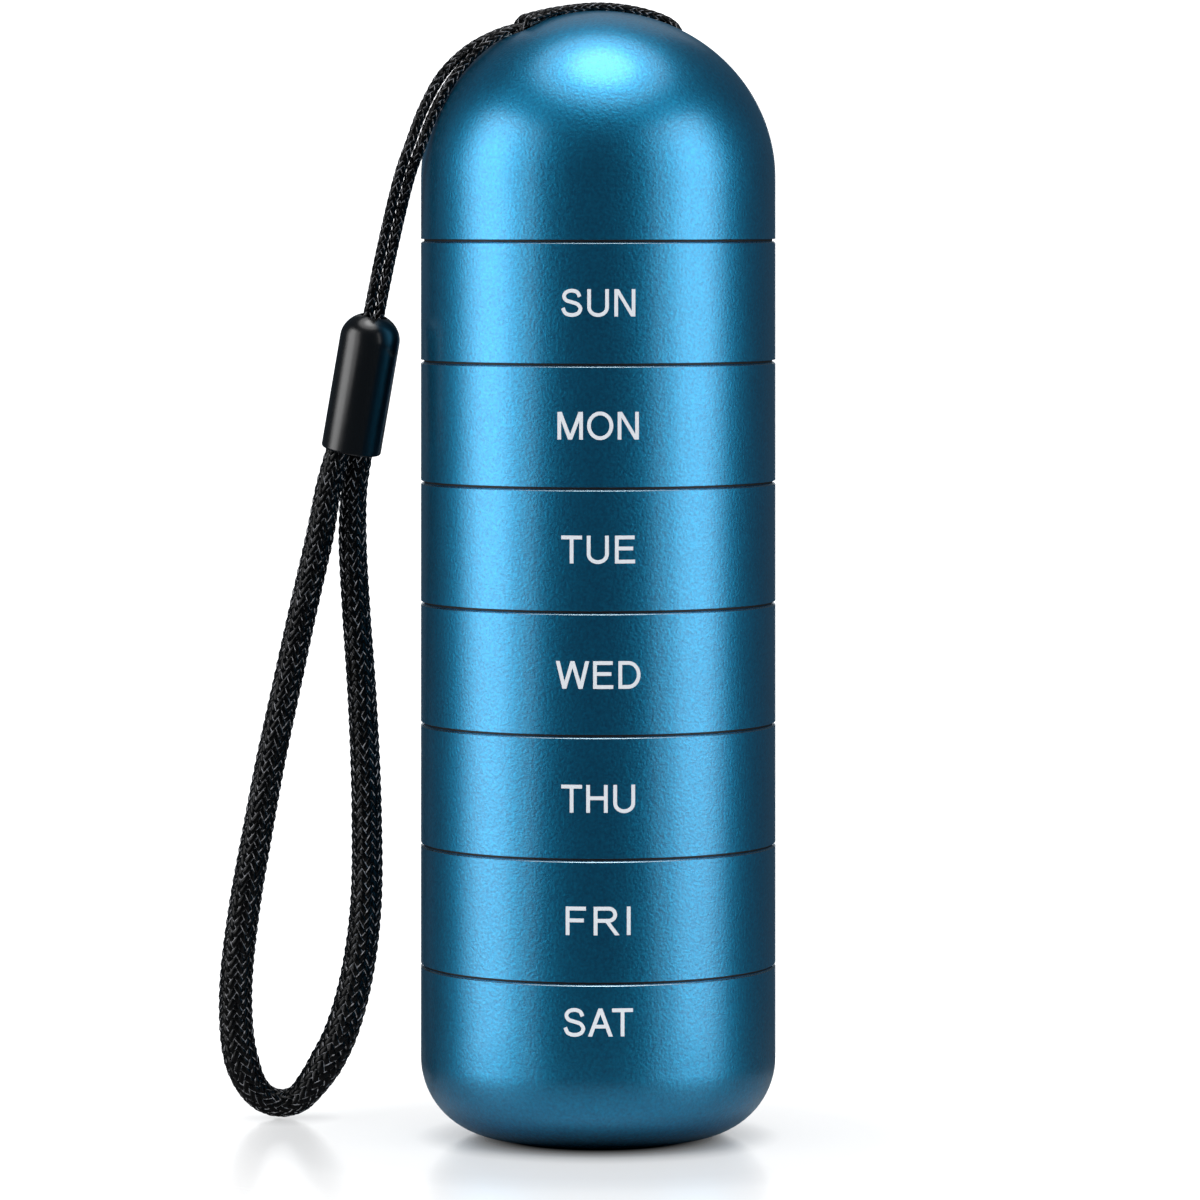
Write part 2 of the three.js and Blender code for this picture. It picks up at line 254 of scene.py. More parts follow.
# %% One smooth curve through a route
def catmull_rom(route, step):
    """Points about a step apart on the centripetal Catmull-Rom curve through a route."""
    ends = [route[0] * 2 - route[1], *route, route[-1] * 2 - route[-2]]
    line = []
    for p0, p1, p2, p3 in zip(ends, ends[1:], ends[2:], ends[3:]):
        gaps = [math.sqrt((b - a).length) for a, b in ((p0, p1), (p1, p2), (p2, p3))]
        slope1 = ((p1 - p0) / gaps[0] - (p2 - p0) / (gaps[0] + gaps[1]) + (p2 - p1) / gaps[1]) * gaps[1]
        slope2 = ((p2 - p1) / gaps[1] - (p3 - p1) / (gaps[1] + gaps[2]) + (p3 - p2) / gaps[2]) * gaps[1]
        count = max(2, round((p2 - p1).length / step))
        for i in range(count):
            t = i / count
            cubic = (p1 - p2) * 2 + slope1 + slope2
            square = (p2 - p1) * 3 - slope1 * 2 - slope2
            line.append(p1 + slope1 * t + square * t**2 + cubic * t**3)
    return [*line, route[-1]]


THIN_STEP, LOOP_STEP = 0.25, 0.3
thin_shown = catmull_rom(thin_shown_route, THIN_STEP)

# %% [markdown]
# ## Node trees
#
# Materials and geometry trees are both built from nodes. One function adds a node, sets its properties and
# fills or links its sockets, so that a tree reads as a short list of steps.


# %% Nodes, colours and materials
def add_node(tree, kind, inputs=(), **settings):
    """Adds a node. Its inputs go by name or in order: each is a value, a socket or a node's first output."""
    node = tree.nodes.new(kind)
    for name, value in settings.items():
        setattr(node, name, value)
    for name, values in inputs.items() if isinstance(inputs, dict) else enumerate(inputs):
        for value in values if isinstance(values, list) else [values]:
            source = value.outputs[0] if isinstance(value, bpy.types.Node) else value
            if isinstance(source, bpy.types.NodeSocket):
                tree.links.new(source, node.inputs[name])
            else:
                node.inputs[name].default_value = source
    return node


def linear(hex_colour):
    """An sRGB hex colour as linear RGBA."""
    parts = [int(hex_colour[i:i + 2], 16) / 255 for i in (1, 3, 5)]
    return (*(p / 12.92 if p <= 0.04045 else ((p + 0.055) / 1.055) ** 2.4 for p in parts), 1)


def new_material(name):
    """A material and its empty tree."""
    material = bpy.data.materials.new(name)
    material.use_nodes = True
    material.node_tree.nodes.clear()
    return material, material.node_tree


def end_material(tree, inputs):
    shader = add_node(tree, "ShaderNodeBsdfPrincipled", inputs)
    add_node(tree, "ShaderNodeOutputMaterial", {"Surface": shader})


def uneven(name, patch, detail, smoothest, roughest, inputs, relief=None):
    """Roughness wanders over patches of this many mm. Relief is a strength and a height in mm."""
    material, tree = new_material(name)
    place = add_node(tree, "ShaderNodeTexCoord").outputs["Object"]
    noise = add_node(tree, "ShaderNodeTexNoise", {
        "Vector": place, "Scale": 1 / (patch * MM), "Detail": detail,
    })
    rough = add_node(tree, "ShaderNodeMapRange", {"Value": noise, "To Min": smoothest, "To Max": roughest})
    if relief:
        strength, height = relief
        inputs = {**inputs, "Normal": add_node(tree, "ShaderNodeBump", {
            "Strength": strength, "Distance": height * MM, "Height": noise,
        })}
    end_material(tree, {**inputs, "Roughness": rough})
    return material


print("colour check:", [round(c, 3) for c in linear("#2a7fb5")])

# %% [markdown]
# ## Anodised aluminium
#
# The case is turned from aluminium tube, blasted with fine glass bead and dyed blue in the anodic layer. The
# blasting spreads each reflection into a soft band, and leaves a grain of about a third of a millimetre,
# coarser than real blasting, which would be too fine to show. The dye lies under a clear layer, which adds a
# little white where the reflection is strongest. The rims are cut again with a diamond tool after anodising,
# so the narrow chamfer at each seam is bare, bright metal.

# %% Blue anodised and bare aluminium
# the grain mottles the blue and roughens the shine, and a slow cloud keeps large faces from looking painted
blue_anodised, tree = new_material("anodised aluminium, bead blasted")
GRAIN = 0.36
CLOUD = 6
place = add_node(tree, "ShaderNodeTexCoord").outputs["Object"]
grain = add_node(tree, "ShaderNodeTexNoise", {"Vector": place, "Scale": 1 / (GRAIN * MM), "Detail": 2})
cloud = add_node(tree, "ShaderNodeTexNoise", {"Vector": place, "Scale": 1 / (CLOUD * MM), "Detail": 3})
tint = add_node(tree, "ShaderNodeMix", {
    "Factor": grain, "A": linear("#056ea2"), "B": linear("#16b7ea"),
}, data_type="RGBA")
rough = add_node(tree, "ShaderNodeMapRange", {"Value": cloud, "To Min": 0.36, "To Max": 0.42})
bump = add_node(tree, "ShaderNodeBump", {"Strength": 1, "Distance": 0.045 * MM, "Height": grain})
end_material(tree, {
    "Base Color": tint.outputs["Result"], "Roughness": rough, "Normal": bump, "Metallic": 1,
    "Coat Weight": 1, "Coat Roughness": 0.25, "Coat IOR": 1.6,
})

# bare metal cut smooth draws a thin bright line at each seam
cut_edge = uneven("aluminium, diamond cut", 0.15, 1, 0.2, 0.32, {
    "Base Color": linear("#a9c6d4"), "Metallic": 1,
})
print("finishes:", blue_anodised.name, "and", cut_edge.name)

# %% [markdown]
# ## Plastics, silicone, brass and ink
#
# The liners are injection-moulded polypropylene, black and slightly waxy, with the fine spark-eroded texture
# of the mould. The seals are soft silicone. The bead is polished ABS under a glossy lacquer, and the crimp in
# it is a short piece of drawn brass tube. The days are printed in a matt white ink.

# %% Moulded polypropylene
# the mould's texture breaks the shine on the necks into a dull sheen
black_moulded = uneven("polypropylene, moulded", 0.2, 2, 0.45, 0.6, {
    "Base Color": linear("#17181a"), "IOR": 1.49,
}, relief=(0.15, 0.02))

# %% Silicone
# soft and a little dusty: a matt grey with a faint pale rim
grey_silicone = uneven("silicone, moulded", 1.5, 4, 0.65, 0.85, {
    "Base Color": linear("#34373a"), "IOR": 1.41, "Sheen Weight": 0.2, "Sheen Roughness": 0.5,
})

# %% Polished bead
# a nearly black body with one strong soft streak of light, for which its index is set high
black_gloss = uneven("ABS, polished", 2, 3, 0.2, 0.27, {"Base Color": linear("#050506"), "IOR": 1.75})

# %% Drawn brass
# a warm metal whose shine varies a little along the tube
drawn_brass = uneven("brass, drawn", 0.5, 2, 0.25, 0.4, {"Base Color": linear("#b98f4a"), "Metallic": 1})

# %% Pad-printed ink
# an off-white that covers a little unevenly, so that the letters don't look cut out
white_ink, tree = new_material("ink, pad printed")
place = add_node(tree, "ShaderNodeTexCoord").outputs["Object"]
cover = add_node(tree, "ShaderNodeTexNoise", {"Vector": place, "Scale": 1 / (0.4 * MM), "Detail": 2})
tint = add_node(tree, "ShaderNodeMix", {
    "Factor": cover, "A": linear("#e4e9f0"), "B": linear("#f2f4f8"),
}, data_type="RGBA")
end_material(tree, {"Base Color": tint.outputs["Result"], "Roughness": 0.6})

# %% [markdown]
# ## Braided polyester
#
# Both cords are round braids: as many yarns wind to the right as to the left, and each passes over two and
# under two of the others. Each yarn is a bundle of fine straight filaments. It is nearly black on top, and here
# and there a thin grey line is painted along its two edges, a painted highlight where the outer filaments
# would catch the light. The tree below stores how far along and how far across its yarn a point lies, and how
# near the edge, and the material draws the filaments and the painted highlights from that. The yarn's own
# shine is turned down, so that only those painted lines stand out.

# %% Polyester yarn
black_yarn, tree = new_material("polyester, braided")
FILAMENT = 0.07
FILAMENT_LENGTH = 2
GLINT_PATCH = 0.6
along = add_node(tree, "ShaderNodeAttribute", attribute_name="along").outputs["Fac"]
across = add_node(tree, "ShaderNodeAttribute", attribute_name="across").outputs["Fac"]
edge = add_node(tree, "ShaderNodeAttribute", attribute_name="edge").outputs["Fac"]

# fine streaks along the yarn
yarn_place = add_node(tree, "ShaderNodeCombineXYZ", {"X": along, "Y": across})
drawn_out = add_node(tree, "ShaderNodeMapping", {
    "Vector": yarn_place, "Scale": (1 / (FILAMENT_LENGTH * MM), 1 / (FILAMENT * MM), 1),
})
fibres = add_node(tree, "ShaderNodeTexNoise", {
    "Vector": drawn_out, "Scale": 1, "Detail": 2,
}, noise_dimensions="2D")
tint = add_node(tree, "ShaderNodeMix", {
    "Factor": fibres, "A": linear("#010101"), "B": linear("#060607"),
}, data_type="RGBA")

# painted highlights: a grey line along the yarn's edges, in patches
outer = add_node(tree, "ShaderNodeMapRange", {"Value": edge, "From Min": 0.74, "From Max": 0.94})
place = add_node(tree, "ShaderNodeTexCoord").outputs["Object"]
patches = add_node(tree, "ShaderNodeTexNoise", {"Vector": place, "Scale": 1 / (GLINT_PATCH * MM), "Detail": 2})
painted_glint = add_node(tree, "ShaderNodeMapRange", {"Value": patches, "From Min": 0.45, "From Max": 0.62})
with_painted_glints = add_node(tree, "ShaderNodeMix", {
    "Factor": add_node(tree, "ShaderNodeMath", (outer, painted_glint), operation="MULTIPLY"),
    "A": tint.outputs["Result"], "B": linear("#c0c0c4"),
}, data_type="RGBA")
rough = add_node(tree, "ShaderNodeMapRange", {"Value": fibres, "To Min": 0.12, "To Max": 0.24})
bump = add_node(tree, "ShaderNodeBump", {"Strength": 0.5, "Distance": 0.03 * MM, "Height": fibres})
end_material(tree, {
    "Base Color": with_painted_glints.outputs["Result"], "Roughness": rough, "Normal": bump,
    "IOR": 1.6, "Specular IOR Level": 0.16,
})
print("finishes:", len(bpy.data.materials))

# %% [markdown]
# ## The braiding machine
#
# A tree of Geometry Nodes braids any path. It makes one straight line for each yarn, then bends every line
# onto a helix round the path, half of them right-handed and half left-handed, and lets each one rise over two
# crossings and dip under the next two. A flat oval swept along the lines is the yarn, and a tube inside keeps
# the braid opaque. The path's own radius sets how thick the cord is at each place.


# %% A geometry tree and its sockets
def new_tree(name, sockets, result):
    """A geometry tree with these inputs and one geometry output, and the sockets that its inputs feed."""
    tree = bpy.data.node_groups.new(name, "GeometryNodeTree")
    tree.is_modifier = True
    for label, kind in sockets.items():
        tree.interface.new_socket(label, in_out="INPUT", socket_type=f"NodeSocket{kind}")
    tree.interface.new_socket(result, in_out="OUTPUT", socket_type="NodeSocketGeometry")
    return tree, add_node(tree, "NodeGroupInput").outputs


# %% The braid's tree
braid, given = new_tree("braid", {
    "Path": "Geometry", "Yarns Each Way": "Int", "Pitch": "Float", "Yarn Thickness": "Float",
    "Yarn Width": "Float", "Step": "Float", "Widest Radius": "Float", "Finish": "Material",
}, "Cord")
each_way = given["Yarns Each Way"]
length = add_node(braid, "GeometryNodeCurveLength", {"Curve": given["Path"]})
steps = add_node(braid, "ShaderNodeMath", (length, given["Step"]), operation="DIVIDE")
rings = add_node(braid, "ShaderNodeMath", (steps,), operation="ROUND")
yarns = add_node(braid, "ShaderNodeMath", (each_way, 2), operation="MULTIPLY")
straight = add_node(braid, "GeometryNodeResampleCurve", {
    "Curve": add_node(braid, "GeometryNodeCurvePrimitiveLine"), "Count": rings,
})
seeds = add_node(braid, "GeometryNodePoints", {"Count": yarns})
copies = add_node(braid, "GeometryNodeInstanceOnPoints", {"Points": seeds, "Instance": straight})
lines = add_node(braid, "GeometryNodeRealizeInstances", {"Geometry": copies})

# where a point is: which yarn, how far along the path, and at what angle round it
index = add_node(braid, "GeometryNodeInputIndex")
passed = add_node(braid, "ShaderNodeMath", (index, rings), operation="DIVIDE")
yarn = add_node(braid, "ShaderNodeMath", (passed,), operation="FLOOR")
ring = add_node(braid, "ShaderNodeMath", (index, rings), operation="MODULO")
last_ring = add_node(braid, "ShaderNodeMath", (rings, 1), operation="SUBTRACT")
share = add_node(braid, "ShaderNodeMath", (ring, last_ring), operation="DIVIDE")
run = add_node(braid, "ShaderNodeMath", (share, length), operation="MULTIPLY")
right_handed = add_node(braid, "ShaderNodeMath", (yarn, each_way), operation="LESS_THAN")
hand = add_node(braid, "ShaderNodeMath", (right_handed, 2, -1), operation="MULTIPLY_ADD")
pitches = add_node(braid, "ShaderNodeMath", (run, given["Pitch"]), operation="DIVIDE")
wound = add_node(braid, "ShaderNodeMath", (hand, pitches), operation="MULTIPLY")
begun = add_node(braid, "ShaderNodeMath", (yarn, each_way), operation="DIVIDE")
turns = add_node(braid, "ShaderNodeMath", (begun, wound), operation="ADD")
angle = add_node(braid, "ShaderNodeMath", (turns, 2 * math.pi), operation="MULTIPLY")

# the path there, and the direction out of it at that angle
there = add_node(braid, "GeometryNodeSampleCurve", {
    "Curves": given["Path"], "Value": add_node(braid, "GeometryNodeInputRadius"), "Factor": share,
}, mode="FACTOR", data_type="FLOAT").outputs
normal, tangent = there["Normal"], there["Tangent"]
side = add_node(braid, "ShaderNodeVectorMath", (tangent, normal), operation="CROSS_PRODUCT")
cosine = add_node(braid, "ShaderNodeMath", (angle,), operation="COSINE")
sine = add_node(braid, "ShaderNodeMath", (angle,), operation="SINE")
out_x = add_node(braid, "ShaderNodeVectorMath", {0: normal, "Scale": cosine}, operation="SCALE")
out_y = add_node(braid, "ShaderNodeVectorMath", {0: side, "Scale": sine}, operation="SCALE")
out = add_node(braid, "ShaderNodeVectorMath", (out_x, out_y), operation="ADD")

# over two and under two: each yarn starts a half wave after its neighbour, so the floats stand in columns
wave_angle = add_node(braid, "ShaderNodeMath", (each_way, math.pi), operation="MULTIPLY")
offset = add_node(braid, "ShaderNodeMath", (yarn, math.pi, -math.pi / 4), operation="MULTIPLY_ADD")
crossing = add_node(braid, "ShaderNodeMath", (wound, wave_angle, offset), operation="MULTIPLY_ADD")
swing = add_node(braid, "ShaderNodeMath", (crossing,), operation="COSINE")
wave = add_node(braid, "ShaderNodeMath", (hand, swing), operation="MULTIPLY")
size = add_node(braid, "ShaderNodeMath", (there["Value"], given["Widest Radius"]), operation="DIVIDE")
thickness = add_node(braid, "ShaderNodeMath", (given["Yarn Thickness"], size), operation="MULTIPLY")
half_wave = add_node(braid, "ShaderNodeMath", (wave, 0.5), operation="MULTIPLY")
middle = add_node(braid, "ShaderNodeMath", (there["Value"], thickness), operation="SUBTRACT")
reach = add_node(braid, "ShaderNodeMath", (half_wave, thickness, middle), operation="MULTIPLY_ADD")

# keep the fields on the points, then move the points
kept = lines
for name, kind, value in [("along", "FLOAT", run), ("size", "FLOAT", size), ("out", "FLOAT_VECTOR", out)]:
    kept = add_node(braid, "GeometryNodeStoreNamedAttribute", {
        "Geometry": kept, "Name": name, "Value": value,
    }, data_type=kind, domain="POINT")
away = add_node(braid, "ShaderNodeVectorMath", {0: out, "Scale": reach}, operation="SCALE")
moved = add_node(braid, "GeometryNodeSetPosition", {
    "Geometry": kept,
    "Position": add_node(braid, "ShaderNodeVectorMath", (there["Position"], away), operation="ADD"),
})
facing = add_node(braid, "GeometryNodeSetCurveNormal", {
    "Curve": moved,
    "Normal": add_node(
        braid, "GeometryNodeInputNamedAttribute", {"Name": "out"}, data_type="FLOAT_VECTOR",
    ),
}, mode="FREE")

# the yarn's flat oval section, which remembers how far round it a point lies
oval = add_node(braid, "GeometryNodeTransform", {
    "Geometry": add_node(braid, "GeometryNodeCurvePrimitiveCircle", {"Resolution": 8, "Radius": 0.5}),
    "Scale": add_node(braid, "ShaderNodeCombineXYZ", (given["Yarn Thickness"], given["Yarn Width"], 1.0)),
})
position = add_node(braid, "GeometryNodeInputPosition")
height = add_node(braid, "ShaderNodeSeparateXYZ", {"Vector": position}).outputs["Y"]
from_middle = add_node(braid, "ShaderNodeMath", (height,), operation="ABSOLUTE")
half_width = add_node(braid, "ShaderNodeMath", (given["Yarn Width"], 0.5), operation="MULTIPLY")
nearness = add_node(braid, "ShaderNodeMath", (from_middle, half_width), operation="DIVIDE")
for name, value in [("across", height), ("edge", nearness)]:
    oval = add_node(braid, "GeometryNodeStoreNamedAttribute", {
        "Geometry": oval, "Name": name, "Value": value,
    }, data_type="FLOAT", domain="POINT")
woven = add_node(braid, "GeometryNodeCurveToMesh", {
    "Curve": facing, "Profile Curve": oval, "Fill Caps": True,
    "Scale": add_node(braid, "GeometryNodeInputNamedAttribute", {"Name": "size"}, data_type="FLOAT"),
})

# the core, just under the yarns' lowest points
radius = add_node(braid, "GeometryNodeInputRadius")
under_yarns = add_node(braid, "ShaderNodeMath", (given["Yarn Thickness"], 1.3), operation="MULTIPLY")
core = add_node(braid, "GeometryNodeCurveToMesh", {
    "Curve": add_node(braid, "GeometryNodeResampleCurve", {"Curve": given["Path"], "Count": rings}),
    "Profile Curve": add_node(braid, "GeometryNodeCurvePrimitiveCircle", {"Resolution": 10, "Radius": 1.0}),
    "Scale": add_node(braid, "ShaderNodeMath", (radius, under_yarns), operation="SUBTRACT"),
    "Fill Caps": True,
})
joined = add_node(braid, "GeometryNodeJoinGeometry", {"Geometry": [woven, core]})
smooth = add_node(braid, "GeometryNodeSetShadeSmooth", {"Geometry": joined})
real = add_node(braid, "GeometryNodeRealizeInstances", {"Geometry": smooth})
finished = add_node(braid, "GeometryNodeSetMaterial", {"Geometry": real, "Material": given["Finish"]})
add_node(braid, "NodeGroupOutput", {"Cord": finished})
print("braid tree:", len(braid.nodes), "nodes")


# %% From a tree to a plain mesh
def grown(name, source, tree, values):
    """Runs a geometry tree on an object and returns the result as a plain mesh object."""
    modifier = source.modifiers.new(tree.name, "NODES")
    modifier.node_group = tree
    sockets = {item.name: item.identifier for item in tree.interface.items_tree if item.in_out == "INPUT"}
    for label, value in values.items():
        modifier[sockets[label]] = value
    graph = bpy.context.evaluated_depsgraph_get()
    mesh = bpy.data.meshes.new_from_object(source.evaluated_get(graph))
    mesh.name = name
    bpy.data.objects.remove(source)
    return stood(name, mesh)


def path_object(line, radii):
    """A path in metres whose points carry the cord's radius."""
    curve = bpy.data.curves.new("path", "CURVE")
    curve.dimensions = "3D"
    spline = curve.splines.new("POLY")
    spline.points.add(len(line) - 1)
    for point, place, radius in zip(spline.points, line, radii):
        point.co = (*(place * MM), 1)
        point.radius = radius * MM
    return stood("path", curve)


# %% The thin cord
THIN_HANGING = 0.69
THIN_PRESSED = 0.59
BEARS_FROM, BEARS_FULLY = -20.5, -16


def thin_radius(place):
    """Half the thin cord's thickness: full where it hangs, squeezed from where it bears on the dome."""
    r = place.x * math.cos(STRAP_TURN) + place.y * math.sin(STRAP_TURN)
    squeezed = min(1, max(0, (r - BEARS_FROM) / (BEARS_FULLY - BEARS_FROM)))
    return THIN_HANGING + (THIN_PRESSED - THIN_HANGING) * squeezed


thin_radii = [thin_radius(place) for place in thin_shown]
thin_cord = grown("thin_cord", path_object(thin_shown, thin_radii), braid, {
    "Yarns Each Way": 6, "Pitch": 6.6 * MM, "Yarn Thickness": 0.18 * MM, "Yarn Width": 0.6 * MM,
    "Step": 0.26 * MM, "Widest Radius": THIN_HANGING * MM, "Finish": black_yarn,
})
print("thin cord:", len(thin_cord.data.polygons), "faces")

# %% [markdown]
# The wrist loop is soft: it is squeezed where it goes into the bead, swells lower down, and is slimmer again
# where it bends round on the ground. Its two ends run a little way up into the bead, as the real ones do to
# the crimp.

# %% The wrist loop
ENDS_INSIDE = 2.4
into_bead = [bead_foot + bead_axis * ENDS_INSIDE + Vector((1.3, 0.85, 0)) * side for side in (-1, 1)]
loop_shown = catmull_rom([into_bead[0], *loop_route[1:-1], into_bead[1]], LOOP_STEP)
LOOP_NARROW, LOOP_PLAIN, LOOP_WIDE, LOOP_BENT = 1.55, 1.82, 2.35, 1.8
SWELLS_BELOW = 84
SQUEEZED_FROM, SQUEEZED_FULLY = 74, 88
BEND_GROWTH = 0.09
OFF_GROUND = 0.03


def loop_radius(place):
    """Half the loop's thickness: narrow at the bead, widest low down, slimmer again where it bends round."""
    low = min(1, max(0, (SWELLS_BELOW - place.z) / SWELLS_BELOW))
    free = min(1, max(0, (SQUEEZED_FULLY - place.z) / (SQUEEZED_FULLY - SQUEEZED_FROM)))
    swell = LOOP_PLAIN + (LOOP_WIDE - LOOP_PLAIN) * low**2
    bent = LOOP_BENT + BEND_GROWTH * (place.z - LOOP_BENT)
    return min(LOOP_NARROW + (swell - LOOP_NARROW) * free, bent, place.z - OFF_GROUND)


loop_radii = [loop_radius(place) for place in loop_shown]
wrist_loop = grown("wrist_loop", path_object(loop_shown, loop_radii), braid, {
    "Yarns Each Way": 14, "Pitch": 18.9 * MM, "Yarn Thickness": 0.29 * MM, "Yarn Width": 0.72 * MM,
    "Step": 0.45 * MM, "Widest Radius": 1.8 * MM, "Finish": black_yarn,
})
print("wrist loop:", len(wrist_loop.data.polygons), "faces")

# %% [markdown]
# ## Turned pieces
#
# Everything else but the lettering is round about one axis, so it is turned: a half section is spun into
# rings of faces. The sections are those of the part, with many more facets, and their edges are marked sharp
# where two cuts meet, so that each chamfer keeps its own highlight.


# %% Spin a half section
SHARP_ANGLE = math.radians(28)
ON_AXIS = 1e-6


def turned(name, section, finishes, sides=144, edges=(), place=Matrix.Identity(4)):
    """A closed round solid. Its section, in mm, runs up its outside; edges numbers its bare cuts."""
    mesh = bpy.data.meshes.new(name)
    build = bmesh.new()
    rings = []
    for r, z in section:
        if r < ON_AXIS:
            rings.append([build.verts.new((0, 0, z))] * sides)
            continue
        angles = [2 * math.pi * i / sides for i in range(sides)]
        rings.append([build.verts.new((r * math.cos(a), r * math.sin(a), z)) for a in angles])
    closed = section[0][0] > ON_AXIS
    pairs = list(zip(rings, rings[1:] + rings[:1]))
    for number, (low, high) in enumerate(pairs if closed else pairs[:-1]):
        for i in range(sides):
            j = (i + 1) % sides
            corners = list(dict.fromkeys([low[i], low[j], high[j], high[i]]))
            face = build.faces.new(corners)
            face.smooth = True
            face.material_index = 1 if number in edges else 0
    build.transform(Matrix.Scale(MM, 4) @ place)
    build.to_mesh(mesh)
    build.free()
    for finish in finishes:
        mesh.materials.append(finish)
    mesh.set_sharp_from_angle(angle=SHARP_ANGLE)
    return stood(name, mesh)


def arc(r, z, rise, width, start, end, steps):
    """Points on a quarter of an ellipse, from one angle to another in degrees."""
    angles = [math.radians(start + (end - start) * i / steps) for i in range(steps + 1)]
    return [(r + width * math.cos(a), z + rise * math.sin(a)) for a in angles]


def up(section, height):
    return [(r, z + height) for r, z in section]


# %% Day sleeves
sleeve_section = [
    (SHELL_BORE, SEAM_GAP / 2),
    (OUTER - FOOT_BREAK, SEAM_GAP / 2),
    (OUTER, SEAM_GAP / 2 + FOOT_BREAK),
    (OUTER, RING_HEIGHT - SEAM_GAP / 2 - TOP_BREAK),
    (OUTER - TOP_BREAK, RING_HEIGHT - SEAM_GAP / 2),
    (SHELL_BORE, RING_HEIGHT - SEAM_GAP / 2),
]
shells = {}
for day, seam in seam_below.items():
    shells[day] = turned(f"{day}_ring", up(sleeve_section, seam), [blue_anodised, cut_edge], edges=(3,))
print("rings:", list(shells))

# %% Rounded base
base_top = BASE_HEIGHT - SEAM_GAP / 2
inner_corner = FOOT_CORNER - SHELL_WALL
base_section = [
    (0, 0),
    *arc(FOOT_RADIUS, FOOT_CORNER, FOOT_CORNER, FOOT_CORNER, -90, 0, 20),
    (OUTER, base_top - TOP_BREAK),
    (OUTER - TOP_BREAK, base_top),
    (SHELL_BORE, base_top),
    *arc(FOOT_RADIUS, FOOT_CORNER, inner_corner, inner_corner, 0, -90, 20),
    (0, SHELL_WALL),
]
shells["sat"] = turned("sat_base", base_section, [blue_anodised, cut_edge], edges=(22,))
print("base:", len(shells["sat"].data.polygons), "faces")

# %% [markdown]
# The dome is turned like the rest and then drilled. Each drill is a turned solid too: it is as wide as the
# hole and flares at the surface, so it leaves the small countersink that keeps a real edge from cutting the
# cord.

# %% Domed cap
dome_bottom = CAP_SEAM + SEAM_GAP / 2
dome_section = [
    (SHELL_BORE, dome_bottom),
    (OUTER - FOOT_BREAK, dome_bottom),
    (OUTER, dome_bottom + FOOT_BREAK),
    *arc(0, DOME_FOOT, DOME_RISE, OUTER, 0, 90, 48)[:-1],
    (0, DOME_FOOT + DOME_RISE),
]
dome_section = [
    (0, DOME_FOOT + DOME_RISE - SHELL_WALL),
    *arc(0, DOME_FOOT, DOME_RISE - SHELL_WALL, SHELL_BORE, 90, 0, 32)[1:],
    *dome_section,
]
dome = turned("cap_dome", dome_section, [blue_anodised, cut_edge])
DRILL_DEPTH = 4
FLARE = 3
FLARE_DEPTH = 0.4
drill_section = [
    (0, -DRILL_DEPTH), (HOLE_RADIUS, -DRILL_DEPTH), (HOLE_RADIUS, -FLARE_DEPTH),
    (HOLE_RADIUS + FLARE, FLARE - FLARE_DEPTH), (0, FLARE - FLARE_DEPTH),
]
for side in (-1, 1):
    normal = dome_normal(side * HOLE_OFFSET)
    axis = in_plane((normal.x, normal.y))
    surface = in_plane((side * HOLE_OFFSET, dome_height(HOLE_OFFSET)))
    turn = Matrix.Translation(surface) @ Vector((0, 0, 1)).rotation_difference(axis).to_matrix().to_4x4()
    drill = turned("drill", drill_section, [cut_edge], sides=48, place=turn)
    cut = dome.modifiers.new("hole", "BOOLEAN")
    cut.operation = "DIFFERENCE"
    cut.object = drill
    cut.solver = "EXACT"
    graph = bpy.context.evaluated_depsgraph_get()
    drilled = bpy.data.meshes.new_from_object(dome.evaluated_get(graph))
    dome.modifiers.clear()
    dome.data = drilled
    bpy.data.objects.remove(drill)
shells["cap"] = dome
print("dome:", len(dome.data.polygons), "faces")

# %% [markdown]
# ## Cups and threads
#
# Out of sight, each aluminium shell holds a moulded cup: a straight chamber whose wall runs up into a
# threaded neck, hung from a flange in an outer skirt. The skirt's lower end is the socket that takes the
# neck below. The thread has two starts, so a full turn lifts a section five millimetres, clear of the neck.
# A tree winds one ridge up a spiral and repeats it for each start. The skirts are drawn a little longer than
# in the part, and a thin black lip of the cups' plastic runs round the end of each inside the seam. The lip is
# painted shade: it keeps the seam dark up to the edges of the case, so that no light shows through it.

# %% Sizes of the cups
FIT_GAP = 0.3
SKIRT_WALL = 1.5
THREAD_SPACE = 1.5
NECK_WALL = 1.5
LINER = SHELL_BORE - FIT_GAP
SOCKET = LINER - SKIRT_WALL
NECK = SOCKET - THREAD_SPACE
BORE = NECK - NECK_WALL
FLANGE = 1.2
FLOOR = 1.2
LINER_GAP = 0.6
SKIRT_GAP = 0.1
SEAL_THICKNESS = 0.9
SEAL_GAP = 0.2
STARTS = 2
LEAD = 5
THREAD_TURNS = 0.35
RIM = LINER_GAP / 2
NECK_HEIGHT = LEAD - RIM
SOCKET_HEIGHT = NECK_HEIGHT + SEAL_THICKNESS + 2 * SEAL_GAP
FIRST_RIDGE = 0.6
SOCKET_RIDGE = RIM + FIRST_RIDGE
NECK_RIDGE = SOCKET_RIDGE + LEAD / STARTS / 2
# the black lip in each seam, which stands in for the seam's shade
SHADE_LIP_RADIUS = OUTER - 0.4
SHADE_LIP_HALF = SEAM_GAP / 2 - 0.015
SHADE_LIP_FOOT = LINER + 0.05
skirt_end = [
    (SOCKET, SKIRT_GAP / 2), (SHADE_LIP_FOOT, SKIRT_GAP / 2), (SHADE_LIP_FOOT, -SHADE_LIP_HALF),
    (SHADE_LIP_RADIUS, -SHADE_LIP_HALF), (SHADE_LIP_RADIUS, SHADE_LIP_HALF), (LINER, SHADE_LIP_HALF),
]


